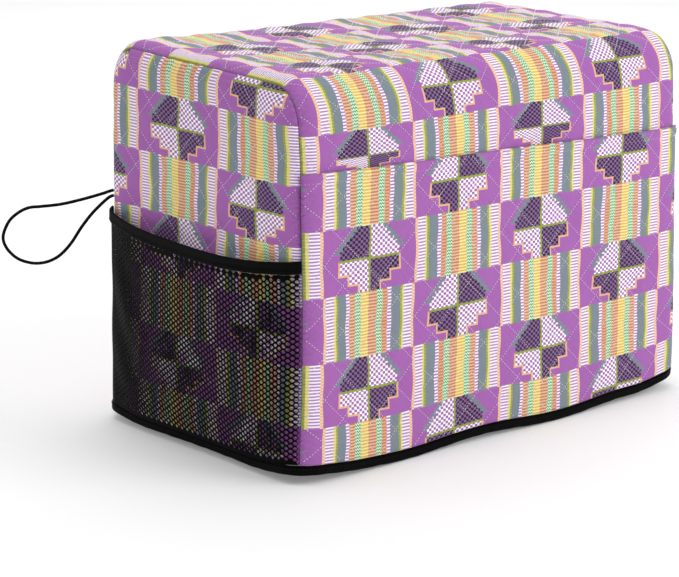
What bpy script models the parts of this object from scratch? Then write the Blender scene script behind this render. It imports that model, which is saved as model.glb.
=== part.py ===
"""A quilted cover for a domestic sewing machine.

One quilted strip runs up the front, over the top and down the back, and two quilted ends close
it. A quilted pocket covers most of the front, a net pocket stands off the left end, black tape
binds the hem and the net pocket's mouth, and a loop of round elastic leaves the back left corner.

Metres, +Z up, front towards -Y. The origin lies under the middle of the top, where the machine
bears on the cloth.
"""

import math

import bmesh
import bpy
from mathutils import Vector

# The cover over its outer faces, at the hem.
WIDTH = 0.434
DEPTH = 0.254
HEIGHT = 0.314

# The cloth, and how far a quilted diamond swells above its stitch lines.
CLOTH = 0.0026
POCKET_CLOTH = 0.0022
PUFF = 0.0022
SEAM_GAP = 0.0005
HEM_GAP = 0.0012
LAYER_GAP = 0.0005

# The strip turns over towards each end, where the seam lies half way round, and the ends have
# rounded top corners. The turn is a little wider at the hem.
EDGE_AT_TOP = 0.0194
EDGE_AT_HEM = 0.0207
SEAM_ANGLE = math.pi / 4
CORNER_RADIUS = 0.034

# Half diamonds counted along the strip (front, corner, top) and across it.
FRONT_ROWS = 16
CORNER_ROWS = 4
TOP_ROWS = 10
ACROSS = 22

# The flat part of an end's top row keeps this much of the narrowing at the rounded corners.
TOP_ROW_SPREAD = 0.55

# Tape on the hem, with the roll of its edges. Then the height of the front pocket above the hem,
# and how much lower its mouth is at the right end than at the left.
HEM_TAPE = 0.008
HEM_OUT = 0.0024
HEM_THICK = 0.0056
HEM_ROLL = 0.0018
POCKET_HEIGHT = 0.236
POCKET_FALL = 0.012

# The net pocket: height of its mouth at the front and back seams, the sag of the mouth, how far
# it stands off the end panel, what share of that it has at the hem and how far up it has all of
# it, the thickness of the net and its tape.
NET_HEIGHT = 0.1745
NET_HEIGHT_BACK = 0.178
NET_SAG = 0.006
NET_BULGE = 0.016
NET_BULGE_AT_HEM = 0.35
NET_BULGE_FULL_AT = 0.62
NET_THICK = 0.0012
NET_TAPE = 0.010
NET_TAPE_THICK = 0.0022
NET_COLUMNS = 18
NET_ROWS = 10

# How the cloth hangs: the walls draw in towards the top, the front leans back above its pocket,
# the hem rises at its corners and waves along the front, the top sags and its edges rise towards
# the back left, and all faces wave a little. Waves are in radians for each metre.
DRAW_IN_X = 0.0044
DRAW_IN_Y = 0.0022
FRONT_LEAN = 0.006
HEM_RISE = 0.006
HEM_RISE_REACH = 0.060
HEM_WAVE = 0.0018
HEM_DROP = 0.0017
HEM_WAVES = 37
HEM_WAVE_START = 0.73
TOP_SAG = 0.0025
TOP_RIGHT_UP = -0.0011
TOP_BACK_UP = 0.0027
TOP_TWIST = -0.0014
WAVE = 0.0013
END_WAVES = (31, 24)
LONG_WAVES = (27, 21)
LEAN_FROM = 0.74
TILT_FROM = 0.70
SAG_FROM = 0.85

# The elastic loop, in the upright plane in which it stands: distance out from the corner and
# height over its upper end, both in metres.
ELASTIC_RADIUS = 0.0013
ELASTIC_HEIGHT = 0.1915
ELASTIC_TURN = math.radians(41)
ELASTIC_POINTS = 76
ELASTIC_ROUTE = (
    (0.000, 0.0000),
    (0.004, -0.0012),
    (0.011, -0.0036),
    (0.027, -0.0082),
    (0.044, -0.0122),
    (0.061, -0.0142),
    (0.070, -0.0151),
    (0.078, -0.0186),
    (0.086, -0.0252),
    (0.0905, -0.0330),
    (0.0925, -0.0400),
    (0.0915, -0.0462),
    (0.0873, -0.0530),
    (0.0800, -0.0590),
    (0.0700, -0.0622),
    (0.0610, -0.0622),
    (0.0525, -0.0597),
    (0.0445, -0.0545),
    (0.0360, -0.0450),
    (0.0277, -0.0322),
    (0.0192, -0.0210),
    (0.0108, -0.0122),
    (0.004, -0.0062),
    (0.000, -0.0045),
)

TOP_Z = CLOTH + TOP_SAG
HEM_Z = TOP_Z - HEIGHT
PANEL_Z = HEM_Z + HEM_TAPE + HEM_GAP
FRONT_RUN = TOP_Z - CORNER_RADIUS - PANEL_Z
CORNER_RUN = CORNER_RADIUS * math.pi / 2
TOP_RUN = DEPTH - 2 * CORNER_RADIUS


def clear_scene():
    for thing in list(bpy.data.objects):
        bpy.data.objects.remove(thing)


def cloth_material(name, colour, roughness):
    material = bpy.data.materials.new(name)
    material.use_nodes = True
    shader = material.node_tree.nodes["Principled BSDF"]
    shader.inputs["Base Color"].default_value = (*colour, 1.0)
    shader.inputs["Roughness"].default_value = roughness
    return material


def smooth(value, low, high):
    """Rises smoothly from 0 at low to 1 at high."""
    share = min(1.0, max(0.0, (value - low) / (high - low)))
    return share * share * (3 - 2 * share)


def hang(point):
    """Moves a point of the stiff, straight-sided cover to where the hanging cloth has it."""
    x, y, z = point
    up = min(1.0, max(0.0, (z - HEM_Z) / HEIGHT))
    end = min(1.0, abs(x) / (WIDTH / 2))
    face = min(1.0, abs(y) / (DEPTH / 2))
    side_x, side_y = math.copysign(end, x), math.copysign(face, y)
    lean = 0.0
    near_x = smooth(abs(x), WIDTH / 2 - HEM_RISE_REACH, WIDTH / 2)
    near_y = smooth(abs(y), DEPTH / 2 - HEM_RISE_REACH, DEPTH / 2)
    rise = HEM_RISE * (1 + 0.3 * side_x) * near_x * near_y * (1 - up) ** 3
    middle = (1 - end**2) * (1 - face**2)
    tilt = TOP_RIGHT_UP * side_x + TOP_BACK_UP * side_y + TOP_TWIST * side_x * side_y
    top = tilt * (1 - middle) * smooth(up, TILT_FROM, 1.0)
    top -= TOP_SAG * middle * smooth(up, SAG_FROM, 1.0)
    if y < 0:
        lean = FRONT_LEAN * smooth(up, LEAN_FROM, 1.0) * (0.68 - 0.32 * side_x) * face
        sway = HEM_WAVE * math.cos(HEM_WAVES * x + HEM_WAVE_START) - HEM_DROP
        rise += sway * (1 - end**4) * face**4 * (1 - up) ** 3
    wave_x = WAVE * end**4 * math.sin(END_WAVES[0] * y + END_WAVES[1] * z)
    wave_y = WAVE * face**4 * math.sin(LONG_WAVES[0] * x + LONG_WAVES[1] * z)
    return Vector((
        x * (1 - DRAW_IN_X / (WIDTH / 2) * up) + math.copysign(wave_x, x),
        y * (1 - DRAW_IN_Y / (DEPTH / 2) * up) + lean + math.copysign(wave_y, y),
        z + rise + top,
    ))


def edge_radius(z):
    """Radius with which the cloth turns over to an end, at a height in the row."""
    up = min(1.0, max(0.0, (z - HEM_Z) / HEIGHT))
    return EDGE_AT_TOP + (EDGE_AT_HEM - EDGE_AT_TOP) * (1 - up) ** 1.5


def profile(run):
    """Point (y, z) and outward direction on the strip's outer line, run metres up from the hem."""
    half = DEPTH / 2
    low_z = TOP_Z - CORNER_RADIUS
    if run <= FRONT_RUN:
        return (-half, PANEL_Z + run), (-1.0, 0.0)
    run -= FRONT_RUN
    if run <= CORNER_RUN:
        turn = run / CORNER_RADIUS
        out = (-math.cos(turn), math.sin(turn))
        return (-half + CORNER_RADIUS * (1 + out[0]), low_z + CORNER_RADIUS * out[1]), out
    run -= CORNER_RUN
    if run <= TOP_RUN:
        return (-half + CORNER_RADIUS + run, TOP_Z), (0.0, 1.0)
    run -= TOP_RUN
    if run <= CORNER_RUN:
        turn = run / CORNER_RADIUS
        out = (math.sin(turn), math.cos(turn))
        return (half - CORNER_RADIUS * (1 - out[0]), low_z + CORNER_RADIUS * out[1]), out
    run -= CORNER_RUN
    return (half, low_z - run), (1.0, 0.0)


def on_wrap(run, share, rim, lift):
    """Point on the strip or an end's rim, lift metres off the cloth's outer face.

    share runs over the flat width from -1 to 1. rim is 0 there, -1 on the strip's own turned rim
    and 1 on the rim of the end that meets it.
    """
    (y, z), (out_y, out_z) = profile(run)
    edge = edge_radius(z)
    turn = SEAM_ANGLE + rim * SEAM_GAP / (2 * edge) if rim else 0.0
    out = (edge + lift) * math.cos(turn) - edge
    x = share * (WIDTH / 2 - edge) + math.copysign((edge + lift) * math.sin(turn), share)
    return Vector((x, y + out_y * out, z + out_z * out))


def strip_runs():
    """Distances up from the hem at which the strip's rows of half diamonds end."""
    runs = [FRONT_RUN * n / FRONT_ROWS for n in range(FRONT_ROWS)]
    runs += [FRONT_RUN + CORNER_RUN * n / CORNER_ROWS for n in range(CORNER_ROWS)]
    start = FRONT_RUN + CORNER_RUN
    runs += [start + TOP_RUN * n / TOP_ROWS for n in range(TOP_ROWS)]
    start += TOP_RUN
    runs += [start + CORNER_RUN * n / CORNER_ROWS for n in range(CORNER_ROWS)]
    start += CORNER_RUN
    runs += [start + FRONT_RUN * n / FRONT_ROWS for n in range(FRONT_ROWS + 1)]
    return runs


def columns_across():
    """(share, rim) of each column across the strip: its flat width, then the turned rims."""
    flat = [(2 * n / ACROSS - 1, 0) for n in range(ACROSS + 1)]
    return [(-1.0, -1), *flat, (1.0, -1)]


def cloth_panel(name, columns, rows, outer, inner, material, quilted_grid=False):
    """A closed sheet of cloth: outer(column, row) and inner(column, row) give its two faces."""
    sheet = bmesh.new()
    at_column = sheet.verts.layers.int.new("column")
    at_row = sheet.verts.layers.int.new("row")
    bmesh.ops.create_grid(sheet, x_segments=columns, y_segments=rows, size=1.0)
    for vert in sheet.verts:
        vert[at_column] = round((vert.co.x + 1) / 2 * columns)
        vert[at_row] = round((vert.co.y + 1) / 2 * rows)
        vert.co = outer(vert[at_column], vert[at_row])
    if quilted_grid:
        for face in list(sheet.faces):
            low = [vert for vert in face.verts if (vert[at_column] + vert[at_row]) % 2 == 0]
            bmesh.utils.face_split(face, low[0], low[1])
    made = bmesh.ops.extrude_face_region(sheet, geom=sheet.faces[:], use_keep_orig=True)
    for vert in made["geom"]:
        if isinstance(vert, bmesh.types.BMVert):
            vert.co = inner(vert[at_column], vert[at_row])
    bmesh.ops.recalc_face_normals(sheet, faces=sheet.faces)
    mesh = bpy.data.meshes.new(name)
    sheet.to_mesh(mesh)
    sheet.free()
    mesh.materials.append(material)
    thing = bpy.data.objects.new(name, mesh)
    cover_parts.objects.link(thing)
    return thing


def wrap_panel(material):
    """The strip over front, top and back. It lies flat under the front pocket."""
    runs = strip_runs()
    columns = columns_across()
    last_row, last_column = len(runs) - 1, len(columns) - 1

    def outer(column, row):
        border = row in (0, last_row) or column in (0, last_column)
        covered = row <= FRONT_ROWS and runs[max(row - 1, 0)] < pocket_run(-1.0)
        puffed = (column + row) % 2 == 1 and not border and not covered
        return hang(on_wrap(runs[row], *columns[column], PUFF if puffed else 0.0))

    def inner(column, row):
        return hang(on_wrap(runs[row], *columns[column], -CLOTH))

    return cloth_panel("wrap_panel", last_column, last_row, outer, inner, material, True)


def side_panel(name, side, material):
    """An end: a flat face with a rim that turns over to the seam. side is -1 left, 1 right."""
    runs = strip_runs()
    rows = FRONT_ROWS + CORNER_ROWS // 2
    columns = TOP_ROWS + CORNER_ROWS

    def rim_run(column, row):
        if column == 0:
            return runs[row]
        if column == columns:
            return runs[len(runs) - 1 - row]
        return runs[rows + column]

    def flat_place(column, row):
        """Evenly spread columns, drawn in where the rounded corners narrow the top rows."""
        top = TOP_Z - EDGE_AT_TOP
        z = PANEL_Z + (top - PANEL_Z) * row / (rows - 1)
        radius = CORNER_RADIUS - EDGE_AT_TOP
        over = max(0.0, z - (top - radius))
        narrow = radius - math.sqrt(max(0.0, radius**2 - over**2))
        narrow *= TOP_ROW_SPREAD if row == rows - 1 else 1.0
        half = DEPTH / 2 - edge_radius(z) - narrow
        y = half * (2 * (column - 1) / (columns - 2) - 1)
        return Vector((side * WIDTH / 2, y, z))

    def face(column, row, lift):
        if column in (0, columns) or row == rows:
            return hang(on_wrap(rim_run(column, row), side, 1, min(lift, 0.0)))
        point = flat_place(column, row)
        point.x += side * lift
        return hang(point)

    def outer(column, row):
        at_rim = column in (1, columns - 1) or row in (0, rows - 1)
        puffed = (column + row) % 2 == 1 and not at_rim
        return face(column, row, PUFF if puffed else 0.0)

    def inner(column, row):
        return face(column, row, -CLOTH)

    return cloth_panel(name, columns, rows, outer, inner, material, True)


def pocket_run(share):
    """Distance up from the strip's lower edge to the front pocket's mouth."""
    return POCKET_HEIGHT - POCKET_FALL * share / 2 - (PANEL_Z - HEM_Z)


def front_pocket(material):
    """The quilted panel on the front. Its top edge is open."""
    columns = columns_across()
    last_column = len(columns) - 1
    whole_rows = pocket_run(1.0) - CORNER_RUN / CORNER_ROWS / 2
    runs = [run for run in strip_runs()[:FRONT_ROWS] if run < whole_rows]
    last_row = len(runs)

    def place(column, row, lift):
        share, rim = columns[column]
        run = runs[row] if row < last_row else pocket_run(share)
        return hang(on_wrap(run, share, rim, lift))

    def outer(column, row):
        border = row in (0, last_row) or column in (0, last_column)
        puffed = (column + row) % 2 == 1 and not border
        return place(column, row, LAYER_GAP + POCKET_CLOTH + (PUFF if puffed else 0.0))

    def inner(column, row):
        return place(column, row, LAYER_GAP)

    return cloth_panel("front_pocket", last_column, last_row, outer, inner, material, True)


def net_columns():
    """(share, turn) of each column of the net, from the front seam to the back seam."""
    inner = NET_COLUMNS - 2
    flat = [(2 * n / inner - 1, math.pi / 2) for n in range(inner + 1)]
    return [(-1.0, SEAM_ANGLE), *flat, (1.0, SEAM_ANGLE)]


def net_mouth(share):
    """Height of the net pocket's mouth over the hem, share of the way from front to back."""
    straight = NET_HEIGHT + (NET_HEIGHT_BACK - NET_HEIGHT) * share
    return straight - NET_SAG * (1 - abs(2 * share - 1) ** 3)


def net_lift(share, up):
    """How far the net stands off the end panel, up from 0 at the hem to 1 at the mouth."""
    across = 1 - abs(2 * share - 1) ** 3
    rising = math.sin(math.pi / 2 * min(1.0, up / NET_BULGE_FULL_AT))
    return NET_BULGE * across * (NET_BULGE_AT_HEM + (1 - NET_BULGE_AT_HEM) * rising)


def on_net(column, height, lift):
    """Point of the left end's skin at a column of the net, height above the hem, lifted out."""
    share, turn = net_columns()[column]
    z = HEM_Z + height
    edge = edge_radius(z)
    if turn < math.pi / 2:
        turn += SEAM_GAP / (2 * edge)
    radius = edge + lift
    y = share * (DEPTH / 2 - edge) + math.copysign(radius * math.cos(turn), share)
    return hang((-(WIDTH / 2 - edge + radius * math.sin(turn)), y, z))


def mesh_pocket(material):
    """The net, as one thin solid that stands off the left end."""
    low = HEM_TAPE + HEM_GAP

    def face(column, row, lift):
        share = column / NET_COLUMNS
        high = net_mouth(share) - NET_TAPE - SEAM_GAP
        lift += LAYER_GAP + net_lift(share, row / NET_ROWS)
        return on_net(column, low + (high - low) * row / NET_ROWS, lift)

    def outer(column, row):
        return face(column, row, NET_THICK)

    def inner(column, row):
        return face(column, row, 0.0)

    return cloth_panel("mesh_pocket", NET_COLUMNS, NET_ROWS, outer, inner, material)


def mesh_pocket_binding(material):
    """The elastic tape along the net pocket's mouth."""
    def face(column, row, lift):
        share = column / NET_COLUMNS
        height = net_mouth(share) - NET_TAPE * (1 - row / 2)
        return on_net(column, height, LAYER_GAP + lift + net_lift(share, 1.0))

    def outer(column, row):
        return face(column, row, NET_TAPE_THICK)

    def inner(column, row):
        return face(column, row, 0.0)

    return cloth_panel("mesh_pocket_binding", NET_COLUMNS, 2, outer, inner, material)


def hem_outline(out):
    """Plan points of a line round the hem, out metres outside the cloth's outer face."""
    radius = EDGE_AT_HEM + out
    centre_x, centre_y = WIDTH / 2 - EDGE_AT_HEM, DEPTH / 2 - EDGE_AT_HEM
    corner_steps, long_steps, short_steps = 4, 14, 8
    points = []
    for quarter, (side_x, side_y) in enumerate(((1, -1), (1, 1), (-1, 1), (-1, -1))):
        for step in range(corner_steps + 1):
            turn = math.radians(90 * (quarter - 1)) + math.pi / 2 * step / corner_steps
            x = side_x * centre_x + radius * math.cos(turn)
            y = side_y * centre_y + radius * math.sin(turn)
            points.append(Vector((x, y)))
    whole = []
    for number, point in enumerate(points):
        whole.append(point)
        if number % (corner_steps + 1) == corner_steps:
            after = points[(number + 1) % len(points)]
            side = number // (corner_steps + 1)
            steps = short_steps if side % 2 == 0 else long_steps
            whole += [point.lerp(after, n / steps) for n in range(1, steps)]
    return whole


def hem_binding(material):
    """The tape round the hem, one closed ring with rounded edges."""
    outline = [Vector((x, y, 0.0)) for x, y in hem_outline(HEM_OUT)]
    ring = bmesh.new()
    low = [ring.verts.new(point + Vector((0.0, 0.0, HEM_Z))) for point in outline]
    high = [ring.verts.new(point + Vector((0.0, 0.0, HEM_Z + HEM_TAPE))) for point in outline]
    for n in range(len(outline)):
        after = (n + 1) % len(outline)
        ring.faces.new((low[n], low[after], high[after], high[n]))
    for vert in ring.verts:
        vert.co = hang(vert.co)
    mesh = bpy.data.meshes.new("hem_binding")
    ring.to_mesh(mesh)
    ring.free()
    mesh.materials.append(material)
    thing = bpy.data.objects.new("hem_binding", mesh)
    cover_parts.objects.link(thing)
    solidify = thing.modifiers.new("tape thickness", "SOLIDIFY")
    solidify.thickness = HEM_THICK
    solidify.offset = -1.0
    bevel = thing.modifiers.new("rolled edges", "BEVEL")
    bevel.width = HEM_ROLL
    bevel.segments = 1
    bevel.limit_method = "ANGLE"
    bevel.angle_limit = math.radians(60)
    return thing


def elastic_path():
    """Centreline of the elastic loop, in the upright plane that runs out of the back left corner."""
    z = HEM_Z + ELASTIC_HEIGHT
    edge = edge_radius(z)
    heading = Vector((-math.cos(ELASTIC_TURN), math.sin(ELASTIC_TURN), 0.0))
    corner = Vector((-(WIDTH / 2 - edge), DEPTH / 2 - edge, z))
    foot = hang(corner + heading * (edge + LAYER_GAP))
    knots = [foot + heading * out + Vector((0.0, 0.0, drop)) for out, drop in ELASTIC_ROUTE]
    return even_curve(knots, ELASTIC_POINTS)


def even_curve(knots, count):
    """count points evenly spaced along a smooth curve through the knots."""
    fine = []
    for n in range(len(knots) - 1):
        before = knots[max(n - 1, 0)]
        start, end = knots[n], knots[n + 1]
        after = knots[min(n + 2, len(knots) - 1)]
        for step in range(12):
            t = step / 12
            fine.append(
                start
                + (end - before) * (t / 2)
                + (before * 2 - start * 5 + end * 4 - after) * (t * t / 2)
                + (start * 3 - before - end * 3 + after) * (t**3 / 2)
            )
    fine.append(knots[-1])
    lengths = [0.0]
    for one, other in zip(fine, fine[1:]):
        lengths.append(lengths[-1] + (other - one).length)
    points, place = [], 0
    for n in range(count):
        target = lengths[-1] * n / (count - 1)
        while place < len(lengths) - 2 and lengths[place + 1] < target:
            place += 1
        span = lengths[place + 1] - lengths[place]
        share = min(1.0, (target - lengths[place]) / span)
        points.append(fine[place].lerp(fine[place + 1], share))
    return points


def elastic_loop(material):
    """The loop of round elastic, sewn into the back left corner at both its ends."""
    points = elastic_path()
    curve = bpy.data.curves.new("elastic_loop", "CURVE")
    curve.dimensions = "3D"
    curve.bevel_depth = ELASTIC_RADIUS
    curve.bevel_resolution = 2
    curve.use_fill_caps = True
    spline = curve.splines.new("POLY")
    spline.points.add(len(points) - 1)
    for slot, point in zip(spline.points, points):
        slot.co = (*point, 1.0)
    thing = bpy.data.objects.new("elastic_loop", curve)
    curve.materials.append(material)
    cover_parts.objects.link(thing)
    return thing


clear_scene()
cover_parts = bpy.data.collections.new("sewing machine cover")
bpy.context.scene.collection.children.link(cover_parts)

quilted = cloth_material("printed quilted polyester", (0.40, 0.14, 0.48), 0.75)
pocket_cloth = cloth_material("printed pocket cloth", (0.42, 0.16, 0.50), 0.75)
net = cloth_material("black polyester net", (0.010, 0.010, 0.011), 0.8)
tape = cloth_material("black woven tape", (0.012, 0.012, 0.013), 0.7)
elastic = cloth_material("black round elastic", (0.010, 0.010, 0.010), 0.65)

wrap_panel(quilted)
side_panel("left_side_panel", -1, quilted)
side_panel("right_side_panel", 1, quilted)
front_pocket(pocket_cloth)
mesh_pocket(net)
mesh_pocket_binding(tape)
hem_binding(tape)
elastic_loop(elastic)
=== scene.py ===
"""Looks of a quilted sewing machine cover: printed cloth, stitching, net, tape and elastic."""

import math

import bpy
import numpy as np
from mathutils import Matrix, Vector


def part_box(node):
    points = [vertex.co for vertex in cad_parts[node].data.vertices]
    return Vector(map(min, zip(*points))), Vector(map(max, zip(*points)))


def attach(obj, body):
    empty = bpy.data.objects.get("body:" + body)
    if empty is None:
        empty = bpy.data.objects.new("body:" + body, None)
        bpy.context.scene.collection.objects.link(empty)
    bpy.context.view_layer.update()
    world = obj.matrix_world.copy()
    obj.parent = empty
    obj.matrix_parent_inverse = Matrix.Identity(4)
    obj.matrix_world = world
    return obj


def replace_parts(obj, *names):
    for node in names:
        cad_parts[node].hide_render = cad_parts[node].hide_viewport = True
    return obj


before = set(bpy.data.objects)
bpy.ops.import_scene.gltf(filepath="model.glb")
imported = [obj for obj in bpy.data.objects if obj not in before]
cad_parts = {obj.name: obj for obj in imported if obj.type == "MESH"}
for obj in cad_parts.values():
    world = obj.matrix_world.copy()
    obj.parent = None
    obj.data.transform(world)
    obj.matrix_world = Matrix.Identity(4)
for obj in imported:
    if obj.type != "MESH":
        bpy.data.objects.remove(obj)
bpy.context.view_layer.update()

# The studio
# A floor of white paper in a dim room with a white backdrop, under soft boxes, as for a catalogue
# picture. The camera stands low at the front left corner, on a long lens.

scene = bpy.context.scene

CAMERA_AZIMUTH = math.radians(-41.02)
CAMERA_ELEVATION = math.radians(14.12)
CAMERA_ROLL = math.radians(0.18)
CAMERA_DISTANCE = 2.250
CAMERA_LENS_MM = 139.84
CAMERA_TARGET = Vector((-0.0377, 0.0328, -0.2129))
FLOOR_HALF = 6.0
PAPER_GLOW = 0.12
ROOM_SHADE = 0.6
BACKDROP_EDGE = (0.45, 0.85)

back = Vector((
    math.sin(CAMERA_AZIMUTH) * math.cos(CAMERA_ELEVATION),
    -math.cos(CAMERA_AZIMUTH) * math.cos(CAMERA_ELEVATION),
    math.sin(CAMERA_ELEVATION),
))
right = Vector((math.cos(CAMERA_AZIMUTH), math.sin(CAMERA_AZIMUTH), 0.0))
right = right * math.cos(CAMERA_ROLL) + back.cross(right) * math.sin(CAMERA_ROLL)
camera_data = bpy.data.cameras.new("camera")
camera_data.lens = CAMERA_LENS_MM
camera_data.sensor_width = 36.0
camera = bpy.data.objects.new("camera", camera_data)
scene.collection.objects.link(camera)
axes = Matrix((right, back.cross(right), back)).transposed().to_4x4()
camera.matrix_world = Matrix.Translation(CAMERA_TARGET + back * CAMERA_DISTANCE) @ axes
scene.camera = camera
scene.view_settings.view_transform = "Standard"


def linear(colour):
    """Linear RGBA of an sRGB hex colour."""
    values = [int(colour[n:n + 2], 16) / 255 for n in (1, 3, 5)]
    return (*[v / 12.92 if v <= 0.04045 else ((v + 0.055) / 1.055) ** 2.4 for v in values], 1.0)


def new_material(name, roughness, colour=None, gloss=0.5):
    """A material with its Principled shader: (material, nodes' tree, shader)."""
    material = bpy.data.materials.new(name)
    material.use_nodes = True
    shader = material.node_tree.nodes["Principled BSDF"]
    shader.inputs["Roughness"].default_value = roughness
    shader.inputs["IOR"].default_value = 1.5
    shader.inputs["Specular IOR Level"].default_value = gloss
    if colour:
        shader.inputs["Base Color"].default_value = linear(colour)
    return material, material.node_tree, shader


def add_mesh(name, points, faces, material, uvs=None, slots=None, smooth=True):
    """An object from arrays: points (n, 3), quads or triangles (m, 3 or 4).

    uvs holds a UV per point for each layer's name, and slots a material number per face.
    """
    mesh = bpy.data.meshes.new(name)
    corners = faces.shape[1]
    mesh.vertices.add(len(points))
    mesh.vertices.foreach_set("co", np.ascontiguousarray(points, np.float32).ravel())
    mesh.loops.add(faces.size)
    mesh.loops.foreach_set("vertex_index", faces.astype(np.int32).ravel())
    mesh.polygons.add(len(faces))
    mesh.polygons.foreach_set("loop_start", np.arange(0, faces.size, corners, dtype=np.int32))
    mesh.polygons.foreach_set("use_smooth", np.full(len(faces), smooth))
    for layer_name, uv in (uvs or {}).items():
        layer = mesh.uv_layers.new(name=layer_name)
        layer.data.foreach_set("uv", uv[faces.ravel()].astype(np.float32).ravel())
    for one in material if isinstance(material, (list, tuple)) else [material]:
        mesh.materials.append(one)
    if slots is not None:
        mesh.polygons.foreach_set("material_index", np.asarray(slots, np.int32))
    mesh.update(calc_edges=True)
    mesh.validate()
    thing = bpy.data.objects.new(name, mesh)
    scene.collection.objects.link(thing)
    return thing


def add_area_light(name, place, target, size, power):
    """A square studio light that faces its target."""
    data = bpy.data.lights.new(name, "AREA")
    data.size = size
    data.energy = power
    light = bpy.data.objects.new(name, data)
    light.location = place
    light.rotation_euler = (Vector(target) - Vector(place)).to_track_quat("-Z", "Y").to_euler()
    scene.collection.objects.link(light)


add_area_light("key softbox", (0.9, -1.6, 0.9), (0.0, 0.0, -0.15), 1.3, 16)
add_area_light("left softbox", (-1.8, -0.7, 0.5), (0.0, 0.0, -0.15), 1.4, 1)
add_area_light("overhead softbox", (-0.1, 0.3, 1.5), (0.0, 0.0, -0.2), 1.6, 9)
add_area_light("backdrop softbox", (1.3, 1.5, 1.2), (1.5, 1.7, -0.3), 2.0, 9)


def add_node(tree, kind, *inputs, out=0, stops=(), named=None, **settings):
    """Adds a shader node and returns one of its outputs.

    inputs fill its sockets in order and named by name: a link, a value, or None to skip. stops
    are a ramp's positions and colours.
    """
    node = tree.nodes.new("ShaderNode" + kind)
    for key, value in settings.items():
        setattr(node, key, value)
    if stops:
        node.color_ramp.interpolation = "CONSTANT"
        points = node.color_ramp.elements
        for number, (start, colour) in enumerate(stops):
            point = points[number] if number < 2 else points.new(start)
            point.position = start
            point.color = colour
    filled = list(zip(node.inputs, inputs))
    filled += [(node.inputs[key], value) for key, value in (named or {}).items()]
    for socket, value in filled:
        if isinstance(value, bpy.types.NodeSocket):
            tree.links.new(value, socket)
        elif value is not None:
            socket.default_value = value
    return node.outputs[out]


# The room is dim grey except for the white backdrop beyond the cover, which fades in between two
# cosines of the angle to the view.
world = bpy.data.worlds.new("studio with a white backdrop")
world.use_nodes = True
tree = world.node_tree
ahead = -Vector((back.x, back.y, 0.0))
direction = add_node(tree, "TexCoord")
towards = add_node(tree, "VectorMath", direction, ahead, operation="DOT_PRODUCT", out=1)
fade = (*BACKDROP_EDGE, ROOM_SHADE, 1.0)
shade = add_node(tree, "MapRange", towards, *fade, interpolation_type="SMOOTHSTEP")
tree.links.new(shade, tree.nodes["Background"].inputs["Color"])
scene.world = world

# White paper with a light behind it: it burns out to white and keeps only the cover's soft shadow.
floor_material, _, shader = new_material("white paper lit from behind", 0.9, "#F8F8F8")
shader.inputs["Emission Color"].default_value = linear("#FFFFFF")
shader.inputs["Emission Strength"].default_value = PAPER_GLOW
floor_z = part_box("hem_binding")[0].z - 0.0002
floor = add_mesh(
    "floor",
    np.array([(-1, -1, 0), (1, -1, 0), (1, 1, 0), (-1, 1, 0)]) * FLOOR_HALF + (0, 0, floor_z),
    np.array([[0, 1, 2, 3]]),
    floor_material,
)

# Strip over front, top and back
# One length of polyester cloth, printed with a patchwork of woven-stripe blocks and stepped
# diamonds, quilted to wadding and a white backing. It is turned over to a seam at both ends.

WIDTH = 0.434
DEPTH = 0.254
HEIGHT = 0.314
TOP_Z = 0.0051
HEM_Z = TOP_Z - HEIGHT
EDGE_AT_TOP = 0.0194
EDGE_AT_HEM = 0.0207
CORNER_RADIUS = 0.034
SEAM_ANGLE = math.pi / 4
CLOTH = 0.0026
SEAM_GAP = 0.0005
HEM_GAP = 0.0012
LAYER_GAP = 0.0005
HEM_TAPE = 0.008
POCKET_HEIGHT = 0.236
POCKET_FALL = 0.012

# How the cloth hangs off its stiff, straight-sided form.
DRAW_IN_X = 0.0044
DRAW_IN_Y = 0.0022
FRONT_LEAN = 0.006
LEAN_MIDDLE = 0.68
LEAN_RIGHT = -0.32
LEAN_FROM = 0.74
HEM_RISE = 0.006
HEM_RISE_RIGHT = 0.3
HEM_RISE_REACH = 0.060
HEM_WAVE = 0.0018
HEM_DROP = 0.0017
HEM_WAVES = 37
HEM_WAVE_START = 0.73
TOP_SAG = 0.0025
SAG_FROM = 0.85
TILT_FROM = 0.7
TOP_RIGHT_UP = -0.0011
TOP_BACK_UP = 0.0027
TOP_TWIST = -0.0014
WAVE = 0.0013
END_WAVES = (31, 24)
LONG_WAVES = (27, 21)

# Mesh size, diamonds of the quilting, their swell, and where two of its lines cross. The swell
# dies away towards a seam, and so does the cloth's slackness, whose waves are given by their
# steepness across and up and their start.
GRID_M = 0.0028
DIAMOND_WIDE = 0.0381
DIAMOND_HIGH = 0.0354
PILLOW = 0.0012
LATTICE_WIDE = 0.0145
LATTICE_HIGH = 0.1415
SEAM_FLAT = 0.010
SLACK_FLAT = 0.02
MOUTH_PRESS = (0.001, 0.010)
SLACK = 0.0006
SLACK_WAVES = ((61, 23, 0.4), (-37, 71, 1.9), (97, -41, 3.1), (29, 113, 5.2), (131, 67, 2.2))

# Lockstitches: pitch, share of it that shows, thickness, height of a stitch's start, middle and
# end over the cloth, depth of its underside, and how far stitches stay from a seam and a hem.
STITCH_PITCH = 0.0027
STITCH_SHARE = 0.66
STITCH_THICK = 0.0008
STITCH_LIFTS = (1e-4, 6e-4, 1e-4)
STITCH_UNDER = -1e-4
STITCH_OFF_SEAM = 0.0015
STITCH_OFF_HEM = 0.002

# Blocks of the print on the strip: size, a boundary right of the middle and one above the hem.
# The diamonds in the row below it have their middle at CROSS_UP and end at the pocket's mouth.
BLOCK_WIDE = 0.0964
BLOCK_HIGH = 0.0505
CROSS_UP = 0.2500
BLOCK_RIGHT = -0.0045
BLOCK_UP = 0.2718

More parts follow.
